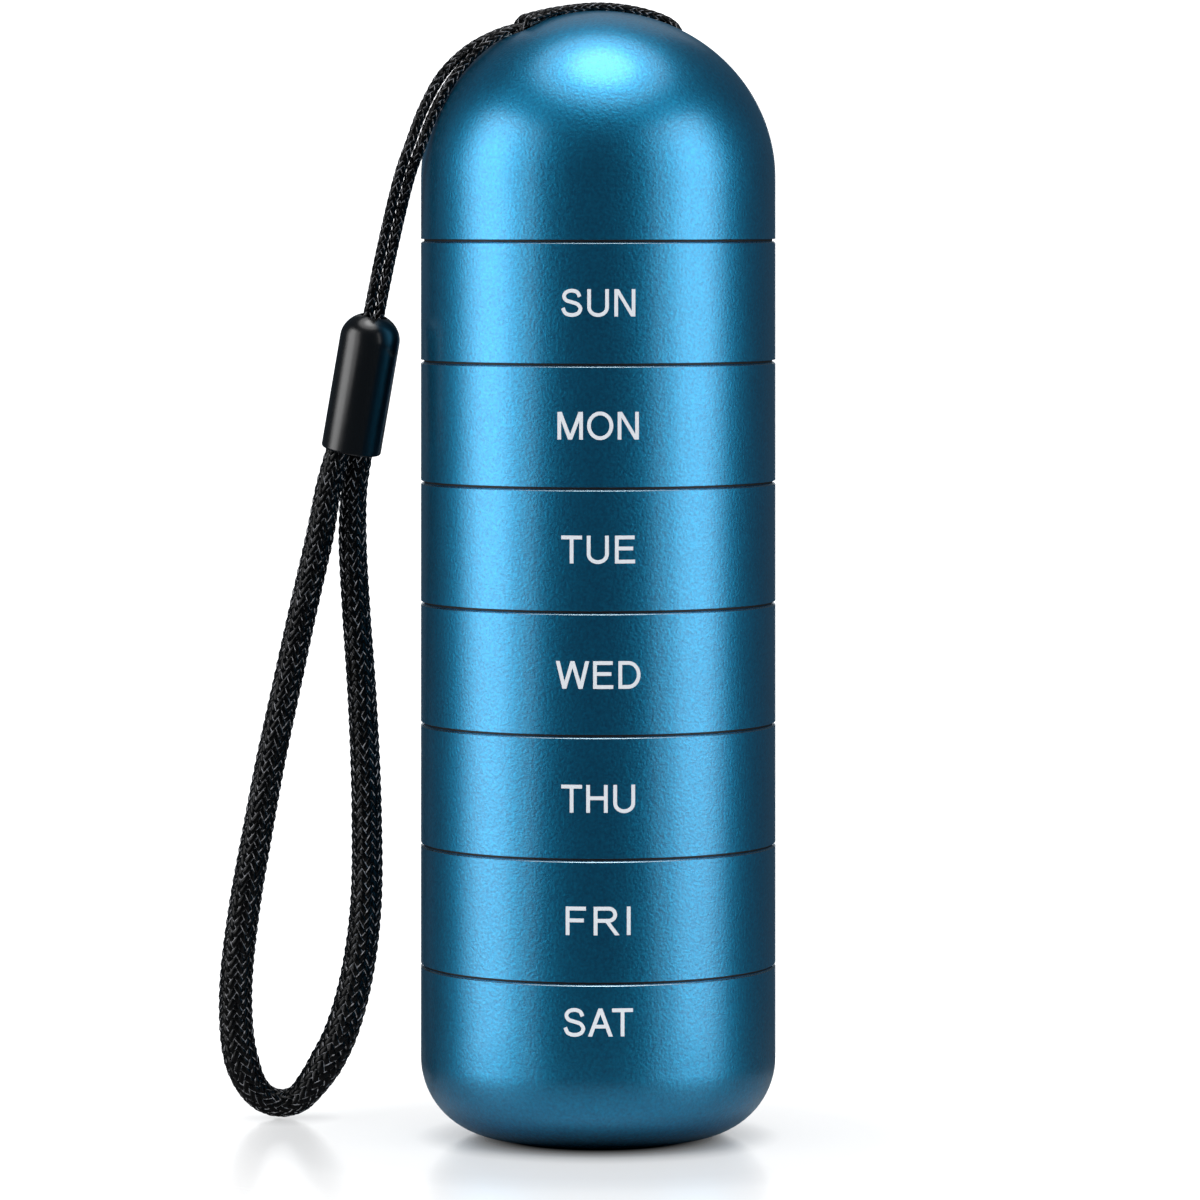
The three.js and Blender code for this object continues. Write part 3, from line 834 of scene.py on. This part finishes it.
def cup_section(floor_under, skirt, seam):
    shoulder = seam - SKIRT_GAP / 2
    return [
        (0, floor_under), (NECK, floor_under), (NECK, shoulder - FLANGE), (SOCKET, shoulder - FLANGE),
        *skirt, (LINER, shoulder), (NECK, shoulder), (NECK, seam + NECK_HEIGHT),
        (BORE, seam + NECK_HEIGHT), (BORE, floor_under + FLOOR), (0, floor_under + FLOOR),
    ]


print("neck", NECK, "mm, socket", SOCKET, "mm")

# %% The thread's tree
thread, given = new_tree("thread", {
    "Cup": "Geometry", "Starts": "Int", "Lead": "Float", "Turns": "Float", "Radius": "Float",
    "Depth": "Float", "Root": "Float", "Tip": "Float", "Height": "Float", "Finish": "Material",
}, "Threaded")
spiral = add_node(thread, "GeometryNodeCurveSpiral", {
    "Resolution": 96, "Rotations": given["Turns"], "Start Radius": given["Radius"],
    "End Radius": given["Radius"],
    "Height": add_node(thread, "ShaderNodeMath", (given["Lead"], given["Turns"]), operation="MULTIPLY"),
})
ridge = add_node(thread, "GeometryNodeCurveToMesh", {
    "Curve": add_node(thread, "GeometryNodeSetCurveNormal", {"Curve": spiral}, mode="Z_UP"),
    "Profile Curve": add_node(thread, "GeometryNodeCurvePrimitiveQuadrilateral", {
        "Bottom Width": given["Root"], "Top Width": given["Tip"], "Height": given["Depth"], "Offset": 0.0,
    }, mode="TRAPEZOID"),
    "Fill Caps": True,
})
each = add_node(thread, "GeometryNodeInputIndex")
share = add_node(thread, "ShaderNodeMath", (each, given["Starts"]), operation="DIVIDE")
turn = add_node(thread, "ShaderNodeMath", (share, 2 * math.pi), operation="MULTIPLY")
starts = add_node(thread, "GeometryNodeInstanceOnPoints", {
    "Points": add_node(thread, "GeometryNodePoints", {
        "Count": given["Starts"],
        "Position": add_node(thread, "ShaderNodeCombineXYZ", {"Z": given["Height"]}),
    }),
    "Instance": ridge,
    "Rotation": add_node(thread, "ShaderNodeCombineXYZ", {"Z": turn}),
})
joined = add_node(thread, "GeometryNodeJoinGeometry", {"Geometry": [given["Cup"], starts]})
real = add_node(thread, "GeometryNodeRealizeInstances", {"Geometry": joined})
finished = add_node(thread, "GeometryNodeSetMaterial", {"Geometry": real, "Material": given["Finish"]})
add_node(thread, "NodeGroupOutput", {"Threaded": finished})
print("thread tree:", len(thread.nodes), "nodes")


# %% Cups
RIDGE_SUNK = 0.4
RIDGE_CLEAR = 0.45
RIDGE_OUTER_EDGE, RIDGE_INNER_EDGE = 0.5, 0.85


def threaded(name, cup, wall, tip, height):
    """Winds the ridges from inside a wall to their tips; a neck's point outwards, a socket's inwards."""
    return grown(name, cup, thread, {
        "Starts": STARTS, "Lead": LEAD * MM, "Turns": THREAD_TURNS, "Radius": (wall + tip) / 2 * MM,
        "Depth": abs(tip - wall) * MM, "Root": (RIDGE_OUTER_EDGE if tip < wall else RIDGE_INNER_EDGE) * MM,
        "Tip": (RIDGE_INNER_EDGE if tip < wall else RIDGE_OUTER_EDGE) * MM, "Height": height * MM,
        "Finish": black_moulded,
    })


def neck_thread(name, cup, seam):
    return threaded(name, cup, NECK - RIDGE_SUNK, SOCKET - RIDGE_CLEAR, seam + NECK_RIDGE)


def socket_thread(name, cup, seam):
    return threaded(name, cup, SOCKET + RIDGE_SUNK, NECK + RIDGE_CLEAR, seam + SOCKET_RIDGE)


cups = {}
day_cup = cup_section(SOCKET_HEIGHT, skirt_end, RING_HEIGHT)
for day, seam in seam_below.items():
    plain = turned(f"{day}_cup_plain", up(day_cup, seam), [black_moulded])
    cups[day] = socket_thread(f"{day}_liner", neck_thread("necked", plain, seam + RING_HEIGHT), seam)
floor_corner = FOOT_CORNER - SHELL_WALL - FIT_GAP
floor_under = FOOT_CORNER - math.sqrt(floor_corner**2 - (NECK - FOOT_RADIUS) ** 2) + FIT_GAP
base_skirt = [(SOCKET, FOOT_CORNER), (LINER, FOOT_CORNER)]
plain = turned("sat_cup_plain", cup_section(floor_under, base_skirt, BASE_HEIGHT), [black_moulded])
cups["sat"] = neck_thread("sat_liner", plain, BASE_HEIGHT)
plain = turned("cap_plain", up([
    (0, SOCKET_HEIGHT), (SOCKET, SOCKET_HEIGHT), *skirt_end,
    (LINER, SOCKET_HEIGHT + FLOOR), (0, SOCKET_HEIGHT + FLOOR),
], CAP_SEAM), [black_moulded])
cups["cap"] = socket_thread("cap_liner", plain, CAP_SEAM)
print("cups:", {day: len(cup.data.polygons) for day, cup in cups.items()})

# %% Seals
SEAL_WIDTH = 2.2
SEAL_ROUND = 0.15
seal_inner = (BORE + NECK) / 2 - SEAL_WIDTH / 2
seal_outer = seal_inner + SEAL_WIDTH
seals = {}
for day, seam in [*seam_below.items(), ("cap", CAP_SEAM)]:
    low = seam + NECK_HEIGHT + SEAL_GAP
    high = low + SEAL_THICKNESS
    seals[day] = turned(f"{day}_gasket", [
        (seal_inner, low + SEAL_ROUND), (seal_inner + SEAL_ROUND, low), (seal_outer - SEAL_ROUND, low),
        (seal_outer, low + SEAL_ROUND), (seal_outer, high - SEAL_ROUND), (seal_outer - SEAL_ROUND, high),
        (seal_inner + SEAL_ROUND, high), (seal_inner, high - SEAL_ROUND),
    ], [grey_silicone])
print("seals:", len(seals))

# %% [markdown]
# ## Bead and crimp
#
# The bead hides the join of the two cords. It is a turned, polished shell with a domed end and an eye for
# the doubled cord, and a short brass tube in it is squeezed on to hold them.

# %% Bead and crimp
BEAD_BORE = BEAD_RADIUS - 0.6
BEAD_NOSE = 3.3
BEAD_EYE = 1.7
BEAD_ROUND = 0.3
straight_height = BEAD_LENGTH - BEAD_NOSE
lean = Vector((0, 0, 1)).rotation_difference(bead_axis).to_matrix().to_4x4()
stand = Matrix.Translation(bead_foot) @ lean
eye_angle = math.degrees(math.acos(BEAD_EYE / BEAD_RADIUS))
bead = turned("strap_bead_shell", [
    (BEAD_BORE, 0.15), (BEAD_BORE + 0.12, 0),
    *arc(BEAD_RADIUS - BEAD_ROUND, BEAD_ROUND, BEAD_ROUND, BEAD_ROUND, -90, 0, 6),
    *arc(0, straight_height, BEAD_NOSE, BEAD_RADIUS, 0, eye_angle, 20),
    (BEAD_EYE, straight_height + 0.7), (BEAD_BORE, straight_height - 0.8),
], [black_gloss], sides=96, place=stand)
CRIMP_BORE, CRIMP_OUTER, CRIMP_BREAK = 1.9, 2.5, 0.1
crimp_top = CRIMP_HEIGHT + CRIMP_LENGTH
crimp_tube = turned("strap_crimp_tube", [
    (CRIMP_BORE, CRIMP_HEIGHT), (CRIMP_OUTER - CRIMP_BREAK, CRIMP_HEIGHT),
    (CRIMP_OUTER, CRIMP_HEIGHT + CRIMP_BREAK), (CRIMP_OUTER, crimp_top - CRIMP_BREAK),
    (CRIMP_OUTER - CRIMP_BREAK, crimp_top), (CRIMP_BORE, crimp_top),
], [drawn_brass], sides=64, place=stand)
print("bead:", len(bead.data.polygons), "faces")

# %% [markdown]
# ## Day names
#
# The days are pad-printed in plain capitals. Each letter is drawn here from straight bars, slanted bars and
# bows of one stroke width, in units of its own height. A Delaunay triangulation joins the overlapping
# strokes into one flat shape, which is given the thickness of a print and bent onto the ring.

# %% Strokes
STROKE = 0.135
BRUSH_STEP = 1 / 36


def bar(x0, y0, x1, y1):
    return [[(x0, y0), (x1, y0), (x1, y1), (x0, y1)]]


def slant(foot, head, width=0.15):
    return [[(foot, 0), (foot + width, 0), (head + width, 1), (head, 1)]]


def bow(x, y, width, height, start, end, steps=20):
    """A part of an oval ring, one stroke wide."""
    def spot(degrees, inset):
        a = math.radians(degrees)
        return (x + (width - inset) * math.cos(a), y + (height - inset) * math.sin(a))

    angles = [start + (end - start) * i / steps for i in range(steps + 1)]
    return [
        [spot(a, 0), spot(b, 0), spot(b, STROKE), spot(a, STROKE)]
        for a, b in zip(angles, angles[1:])
    ]


def brush(route):
    """A ribbon one stroke wide along a smooth line."""
    line = catmull_rom([Vector((x, y, 0)) for x, y in route], BRUSH_STEP)
    runs = [(line[min(i + 1, len(line) - 1)] - line[max(i - 1, 0)]).normalized() for i in range(len(line))]
    sides = [Vector((-run.y, run.x, 0)) * STROKE / 2 for run in runs]
    left = [(p + s)[:2] for p, s in zip(line, sides)]
    right = [(p - s)[:2] for p, s in zip(line, sides)]
    return [
        [right[i], right[i + 1], left[i + 1], left[i]]
        for i in range(len(line) - 1)
    ]


print("stroke:", STROKE, "of a letter's height")

# %% Letters
S = STROKE
letters = {
    "A": (0.89, slant(0, 0.375) + slant(0.74, 0.365) + bar(0.2, 0.29, 0.69, 0.42)),
    "D": (0.81, bar(0, 0, S, 1) + bar(0, 1 - S, 0.36, 1) + bar(0, 0, 0.36, S)
          + bow(0.36, 0.5, 0.45, 0.5, -90, 90)),
    "E": (0.73, bar(0, 0, S, 1) + bar(0, 1 - S, 0.71, 1) + bar(0, 0.47, 0.66, 0.47 + S) + bar(0, 0, 0.73, S)),
    "F": (0.715, bar(0, 0, S, 1) + bar(0, 1 - S, 0.715, 1) + bar(0, 0.45, 0.64, 0.45 + S)),
    "H": (0.77, bar(0, 0, S, 1) + bar(0.77 - S, 0, 0.77, 1) + bar(0, 0.455, 0.77, 0.455 + S)),
    "I": (S, bar(0, 0, S, 1)),
    "M": (0.93, bar(0, 0, S, 1) + bar(0.93 - S, 0, 0.93, 1) + slant(0.39, 0.01) + slant(0.39, 0.77)),
    "N": (0.775, bar(0, 0, S, 1) + bar(0.775 - S, 0, 0.775, 1) + slant(0.615, 0.01)),
    "O": (0.945, bow(0.4725, 0.5, 0.4725, 0.515, 0, 360, 40)),
    "R": (0.91, bar(0, 0, S, 1) + bar(0, 1 - S, 0.53, 1) + bar(0, 0.44, 0.53, 0.44 + S)
          + bow(0.53, 0.72, 0.29, 0.28, -90, 90) + [[(0.745, 0), (0.91, 0), (0.54, 0.5), (0.38, 0.5)]]),
    "S": (0.79, brush([
        (0.69, 0.72), (0.61, 0.88), (0.4, 0.945), (0.19, 0.88), (0.115, 0.735), (0.19, 0.6), (0.4, 0.525),
        (0.62, 0.445), (0.72, 0.285), (0.64, 0.125), (0.41, 0.055), (0.17, 0.12), (0.07, 0.31),
    ])),
    "T": (0.755, bar(0, 1 - S, 0.755, 1) + bar(0.3775 - S / 2, 0, 0.3775 + S / 2, 1)),
    "U": (0.79, bar(0, 0.34, S, 1) + bar(0.79 - S, 0.34, 0.79, 1) + bow(0.395, 0.34, 0.395, 0.355, 180, 360)),
    "W": (1.22, slant(0.245, 0, 0.145) + slant(0.245, 0.54, 0.145)
          + slant(0.835, 0.54, 0.145) + slant(0.835, 1.075, 0.145)),
}
# day: height in mm, middle of the letters above the foot in mm, and the gaps between its letters
labels = {
    "sun": (3.32, 103.8, (0.18, 0.2)),
    "mon": (3.36, 88.9, (0.15, 0.16)),
    "tue": (3.38, 73.9, (0.17, 0.22)),
    "wed": (3.36, 58.7, (0.14, 0.185)),
    "thu": (3.38, 43.7, (0.15, 0.2)),
    "fri": (3.46, 28.9, (0.27, 0.255)),
    "sat": (3.4, 16.6, (0.095, -0.03)),
}
print("letters:", "".join(letters))


# %% Print a day's name
LONGEST_EDGE = 0.12
SAME_PLACE = 1e-5
INK_BELOW, INK_ABOVE = 0.05, 0.025
PRINT_SHARP_ANGLE = math.radians(40)


def divided(corners):
    """The outline's points, with no two further apart than the longest edge."""
    points = []
    for a, b in zip(corners, corners[1:] + corners[:1]):
        count = max(1, math.ceil(math.dist(a, b) / LONGEST_EDGE))
        points += [(a[0] + (b[0] - a[0]) * i / count, a[1] + (b[1] - a[1]) * i / count) for i in range(count)]
    return points


def printed(name, word, height, middle, gaps):
    wide = sum(letters[c][0] for c in word) + sum(gaps)
    x = -wide / 2
    points, faces = [], []
    for letter, gap in zip(word, (*gaps, 0)):
        for corners in letters[letter][1]:
            outline = divided(corners)
            faces.append(list(range(len(points), len(points) + len(outline))))
            points += [Vector((px + x, py)) for px, py in outline]
        x += letters[letter][0] + gap
    flat, _, found, _, _, sources = delaunay_2d_cdt(points, [], faces, 1, SAME_PLACE)
    filled = [face for face, source in zip(found, sources) if source]
    mesh = bpy.data.meshes.new(name)
    build = bmesh.new()
    layers = []
    for radius in (OUTER - INK_BELOW, OUTER + INK_ABOVE):
        layer = []
        for p in flat:
            angle = p.x * height / OUTER
            z = middle + (p.y - 0.5) * height
            layer.append(build.verts.new((radius * math.sin(angle), -radius * math.cos(angle), z)))
        layers.append(layer)
    inner, outer = layers
    uses = {}
    for face in filled:
        build.faces.new([outer[i] for i in face]).smooth = True
        build.faces.new([inner[i] for i in reversed(face)])
        for a, b in zip(face, face[1:] + face[:1]):
            uses[(a, b)] = (b, a) not in uses and (a, b) not in uses
            if (b, a) in uses:
                uses[(b, a)] = uses[(a, b)] = False
    for (a, b), open_edge in uses.items():
        if open_edge:
            build.faces.new([outer[b], outer[a], inner[a], inner[b]])
    loose = [v for v in build.verts if not v.link_faces]
    bmesh.ops.delete(build, geom=loose, context="VERTS")
    build.transform(Matrix.Scale(MM, 4))
    build.to_mesh(mesh)
    build.free()
    mesh.materials.append(white_ink)
    mesh.set_sharp_from_angle(angle=PRINT_SHARP_ANGLE)
    return stood(name, mesh)


prints = {
    day: printed(f"{day}_print", day.upper(), height, middle, gaps)
    for day, (height, middle, gaps) in labels.items()
}
print("prints:", {day: len(piece.data.polygons) for day, piece in prints.items()})

# %% [markdown]
# ## What moves with what
#
# Each finished piece rides on the body of its CAD solid and takes that solid's place. The lettering has no
# solid, so it only rides on its ring. The strap rides on the cap.

# %% Bodies
for day, shell in shells.items():
    body = {"sat": "sat_base", "cap": "cap"}.get(day, f"{day}_section")
    node = {"sat": "sat_base_shell", "cap": "cap_dome_shell"}.get(day, f"{day}_sleeve")
    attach(shell, body)
    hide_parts(node)
    liner = {"sat": "sat_base_cup", "cap": "cap_insert"}.get(day, f"{day}_cup")
    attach(cups[day], body)
    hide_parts(liner)
    if day in prints:
        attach(prints[day], body)
for day, gasket in seals.items():
    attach(gasket, f"{day}_seal_ring")
    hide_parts(f"{day}_seal")
for piece, node, finish in [
    (bead, "strap_bead", "bead"),
    (crimp_tube, "strap_crimp", "crimp"),
    (thin_cord, "strap_thin_cord", "cord"),
    (wrist_loop, "strap_wrist_loop", "cord"),
]:
    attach(piece, "cap")
    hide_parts(node)

# %% Cords
print("cords ride on the cap")

# %% [markdown]
# ## Studio
#
# The object stands on a white table in front of a white wall. A long softbox on each side draws the two
# upright bands on the metal, one overhead draws the glow on the dome, and each has a bright core, so that its
# reflection fades out softly. A weak one behind lifts the rims. Nothing bright stands in front: reflections
# see a dim bluish room there, so the middle of the case stays dark. Table and wall are white to the camera by
# their own light, and the table mirrors the case a little. Towards the foot the table's white and its own
# light fall off, and its own light also falls off under the loop: that is painted shade. Further out its white
# falls off again while its own light keeps it white to the camera, so the metal mirrors a darker table there.
# Its margins are as white as the wall.

# %% Table and wall
SEEN = ["Is Camera Ray", "Is Transmission Ray"]
WHITE = (1, 1, 1, 1)
TABLE_HALF, TABLE_DEPTH = 0.1, 0.075
LOOP_TOUCHES = (-0.0402, 0.0134, 0)
# the painted shade under the foot reaches a little forward
FOOT_MIDDLE = (0, -0.003, 0)


def seen_by(tree, kinds):
    """1 for the named kinds of ray, otherwise 0."""
    path = add_node(tree, "ShaderNodeLightPath").outputs
    total = path[kinds[0]]
    for kind in kinds[1:]:
        total = add_node(tree, "ShaderNodeMath", (total, path[kind]), operation="MAXIMUM")
    return total


def summed(tree, ramps):
    """The sum of straight ramps, each from one value to another while its source crosses a span."""
    total = 0.0
    for source, start, end, low, high in ramps:
        ramp = add_node(tree, "ShaderNodeMapRange", {
            "Value": source, "From Min": start, "From Max": end, "To Min": low, "To Max": high,
        })
        total = add_node(tree, "ShaderNodeMath", (total, ramp), operation="ADD")
    return total


table_with_painted_shade, tree = new_material("white table")
spot = add_node(tree, "ShaderNodeTexCoord").outputs["Object"]
from_foot, from_loop = [
    add_node(tree, "ShaderNodeVectorMath", (spot, middle), operation="DISTANCE").outputs["Value"]
    for middle in (FOOT_MIDDLE, LOOP_TOUCHES)
]
per_half = (1 / TABLE_HALF, 1 / TABLE_DEPTH, 0)
halves = add_node(tree, "ShaderNodeVectorMath", (spot, per_half), operation="MULTIPLY")
sides = add_node(tree, "ShaderNodeSeparateXYZ", {"Vector": halves}).outputs
across, deep = [add_node(tree, "ShaderNodeMath", (sides[i],), operation="ABSOLUTE") for i in (0, 1)]
margin = add_node(tree, "ShaderNodeMath", (across, deep), operation="MAXIMUM")
# the table's own light for the camera: none close to the foot and less under the loop, which is painted shade,
# and more at the margins, as white as the wall
own_light_and_painted_shade = summed(tree, [
    (from_foot, 0.0115, 0.0228, 0, 0.47),
    (from_foot, 0.023, 0.045, 0, 0.14),
    (from_foot, 0.04, 0.065, 0, 0.32),
    (from_loop, 0.001, 0.008, -0.2, 0),
    (margin, 0.82, 0.98, 0, 0.5),
])
# its white falls off towards the foot as painted shade; further out it is darker again, so the metal mirrors a
# darker table while its own light keeps it white to the camera
end_material(tree, {
    "Base Color": summed(tree, [
        (from_foot, 0.0123, 0.0178, 0, 0.52),
        (from_foot, 0.024, 0.034, 0, -0.12),
        (from_foot, 0.04, 0.065, 0, -0.3),
    ]),
    "Roughness": 0.25,
    "Emission Color": WHITE,
    "Emission Strength": add_node(
        tree, "ShaderNodeMath", (seen_by(tree, SEEN), own_light_and_painted_shade), operation="MULTIPLY",
    ),
})

wall_white, tree = new_material("white wall")
end_material(tree, {
    "Base Color": linear("#f4f4f4"), "Roughness": 1, "Emission Color": WHITE,
    "Emission Strength": seen_by(tree, [*SEEN, "Is Glossy Ray"]),
})


def slab(name, corners, material):
    mesh = bpy.data.meshes.new(name)
    mesh.from_pydata(corners, [], [(0, 1, 2, 3)])
    mesh.materials.append(material)
    stood(name, mesh)


WALL, WALL_HALF, WALL_LOW, WALL_HIGH = 1.3, 0.23, -0.25, 0.25
slab("table", [
    (-TABLE_HALF, -TABLE_DEPTH, 0), (TABLE_HALF, -TABLE_DEPTH, 0),
    (TABLE_HALF, TABLE_DEPTH, 0), (-TABLE_HALF, TABLE_DEPTH, 0),
], table_with_painted_shade)
slab("wall", [
    (-WALL_HALF, WALL, WALL_LOW), (WALL_HALF, WALL, WALL_LOW),
    (WALL_HALF, WALL, WALL_HIGH), (-WALL_HALF, WALL, WALL_HIGH),
], wall_white)
print("table and wall ready")

# %% World
ROOM = (0.042, 0.057, 0.072, 1)
world = bpy.data.worlds.new("studio")
bpy.context.scene.world = world
world.use_nodes = True
tree = world.node_tree
tree.nodes.clear()
room = add_node(tree, "ShaderNodeMix", {
    "Factor": seen_by(tree, SEEN), "A": ROOM, "B": WHITE,
}, data_type="RGBA")
background = add_node(tree, "ShaderNodeBackground", {"Color": room.outputs["Result"]})
add_node(tree, "ShaderNodeOutputWorld", {"Surface": background})
print("room light", ROOM)

# %% Softboxes
CASE_MIDDLE = 0.07
HIGH_UP = 0.6


def softbox(name, place, width, height, power, shape="RECTANGLE"):
    """A flat lamp. A high one faces the middle of the case, and a lower one faces the case level."""
    data = bpy.data.lights.new(name, "AREA")
    data.shape = shape
    data.size = width
    data.size_y = height
    data.energy = power
    lamp = stood(name, data)
    lamp.location = place
    aim = CASE_MIDDLE if place[2] > HIGH_UP else place[2]
    lamp.rotation_euler = (lamp.location - Vector((0, 0, aim))).to_track_quat("Z", "Y").to_euler()
    return lamp


def beside(degrees, distance, height):
    """A place at a bearing, measured from the camera's side round to the right."""
    angle = math.radians(degrees)
    return (distance * math.sin(angle), -distance * math.cos(angle), height)


softbox("left softbox", beside(-69, 0.9, 0.33), 0.98, 0.92, 3.1)
softbox("left core", beside(-73, 0.89, 0.33), 0.45, 0.92, 2.1)
softbox("right softbox", beside(62, 0.9, 0.33), 0.9, 0.92, 2.4)
softbox("right core", beside(65, 0.89, 0.33), 0.45, 0.92, 1.9)
softbox("overhead softbox", (0.02, -0.08, 0.87), 0.9, 0.95, 2.9, "ELLIPSE")
softbox("overhead core", (0.02, -0.08, 0.86), 0.4, 0.44, 1.3, "ELLIPSE")
softbox("rear softbox", (0, 0.8, 0.7), 0.6, 0.5, 0.22)
# the fill lights the print and the cords from behind the camera, and no surface mirrors it
fill = softbox("fill", (0, -1.5, 0.04), 1.2, 0.5, 10)
fill.visible_glossy = False
print("lamps:", len(bpy.data.lights))
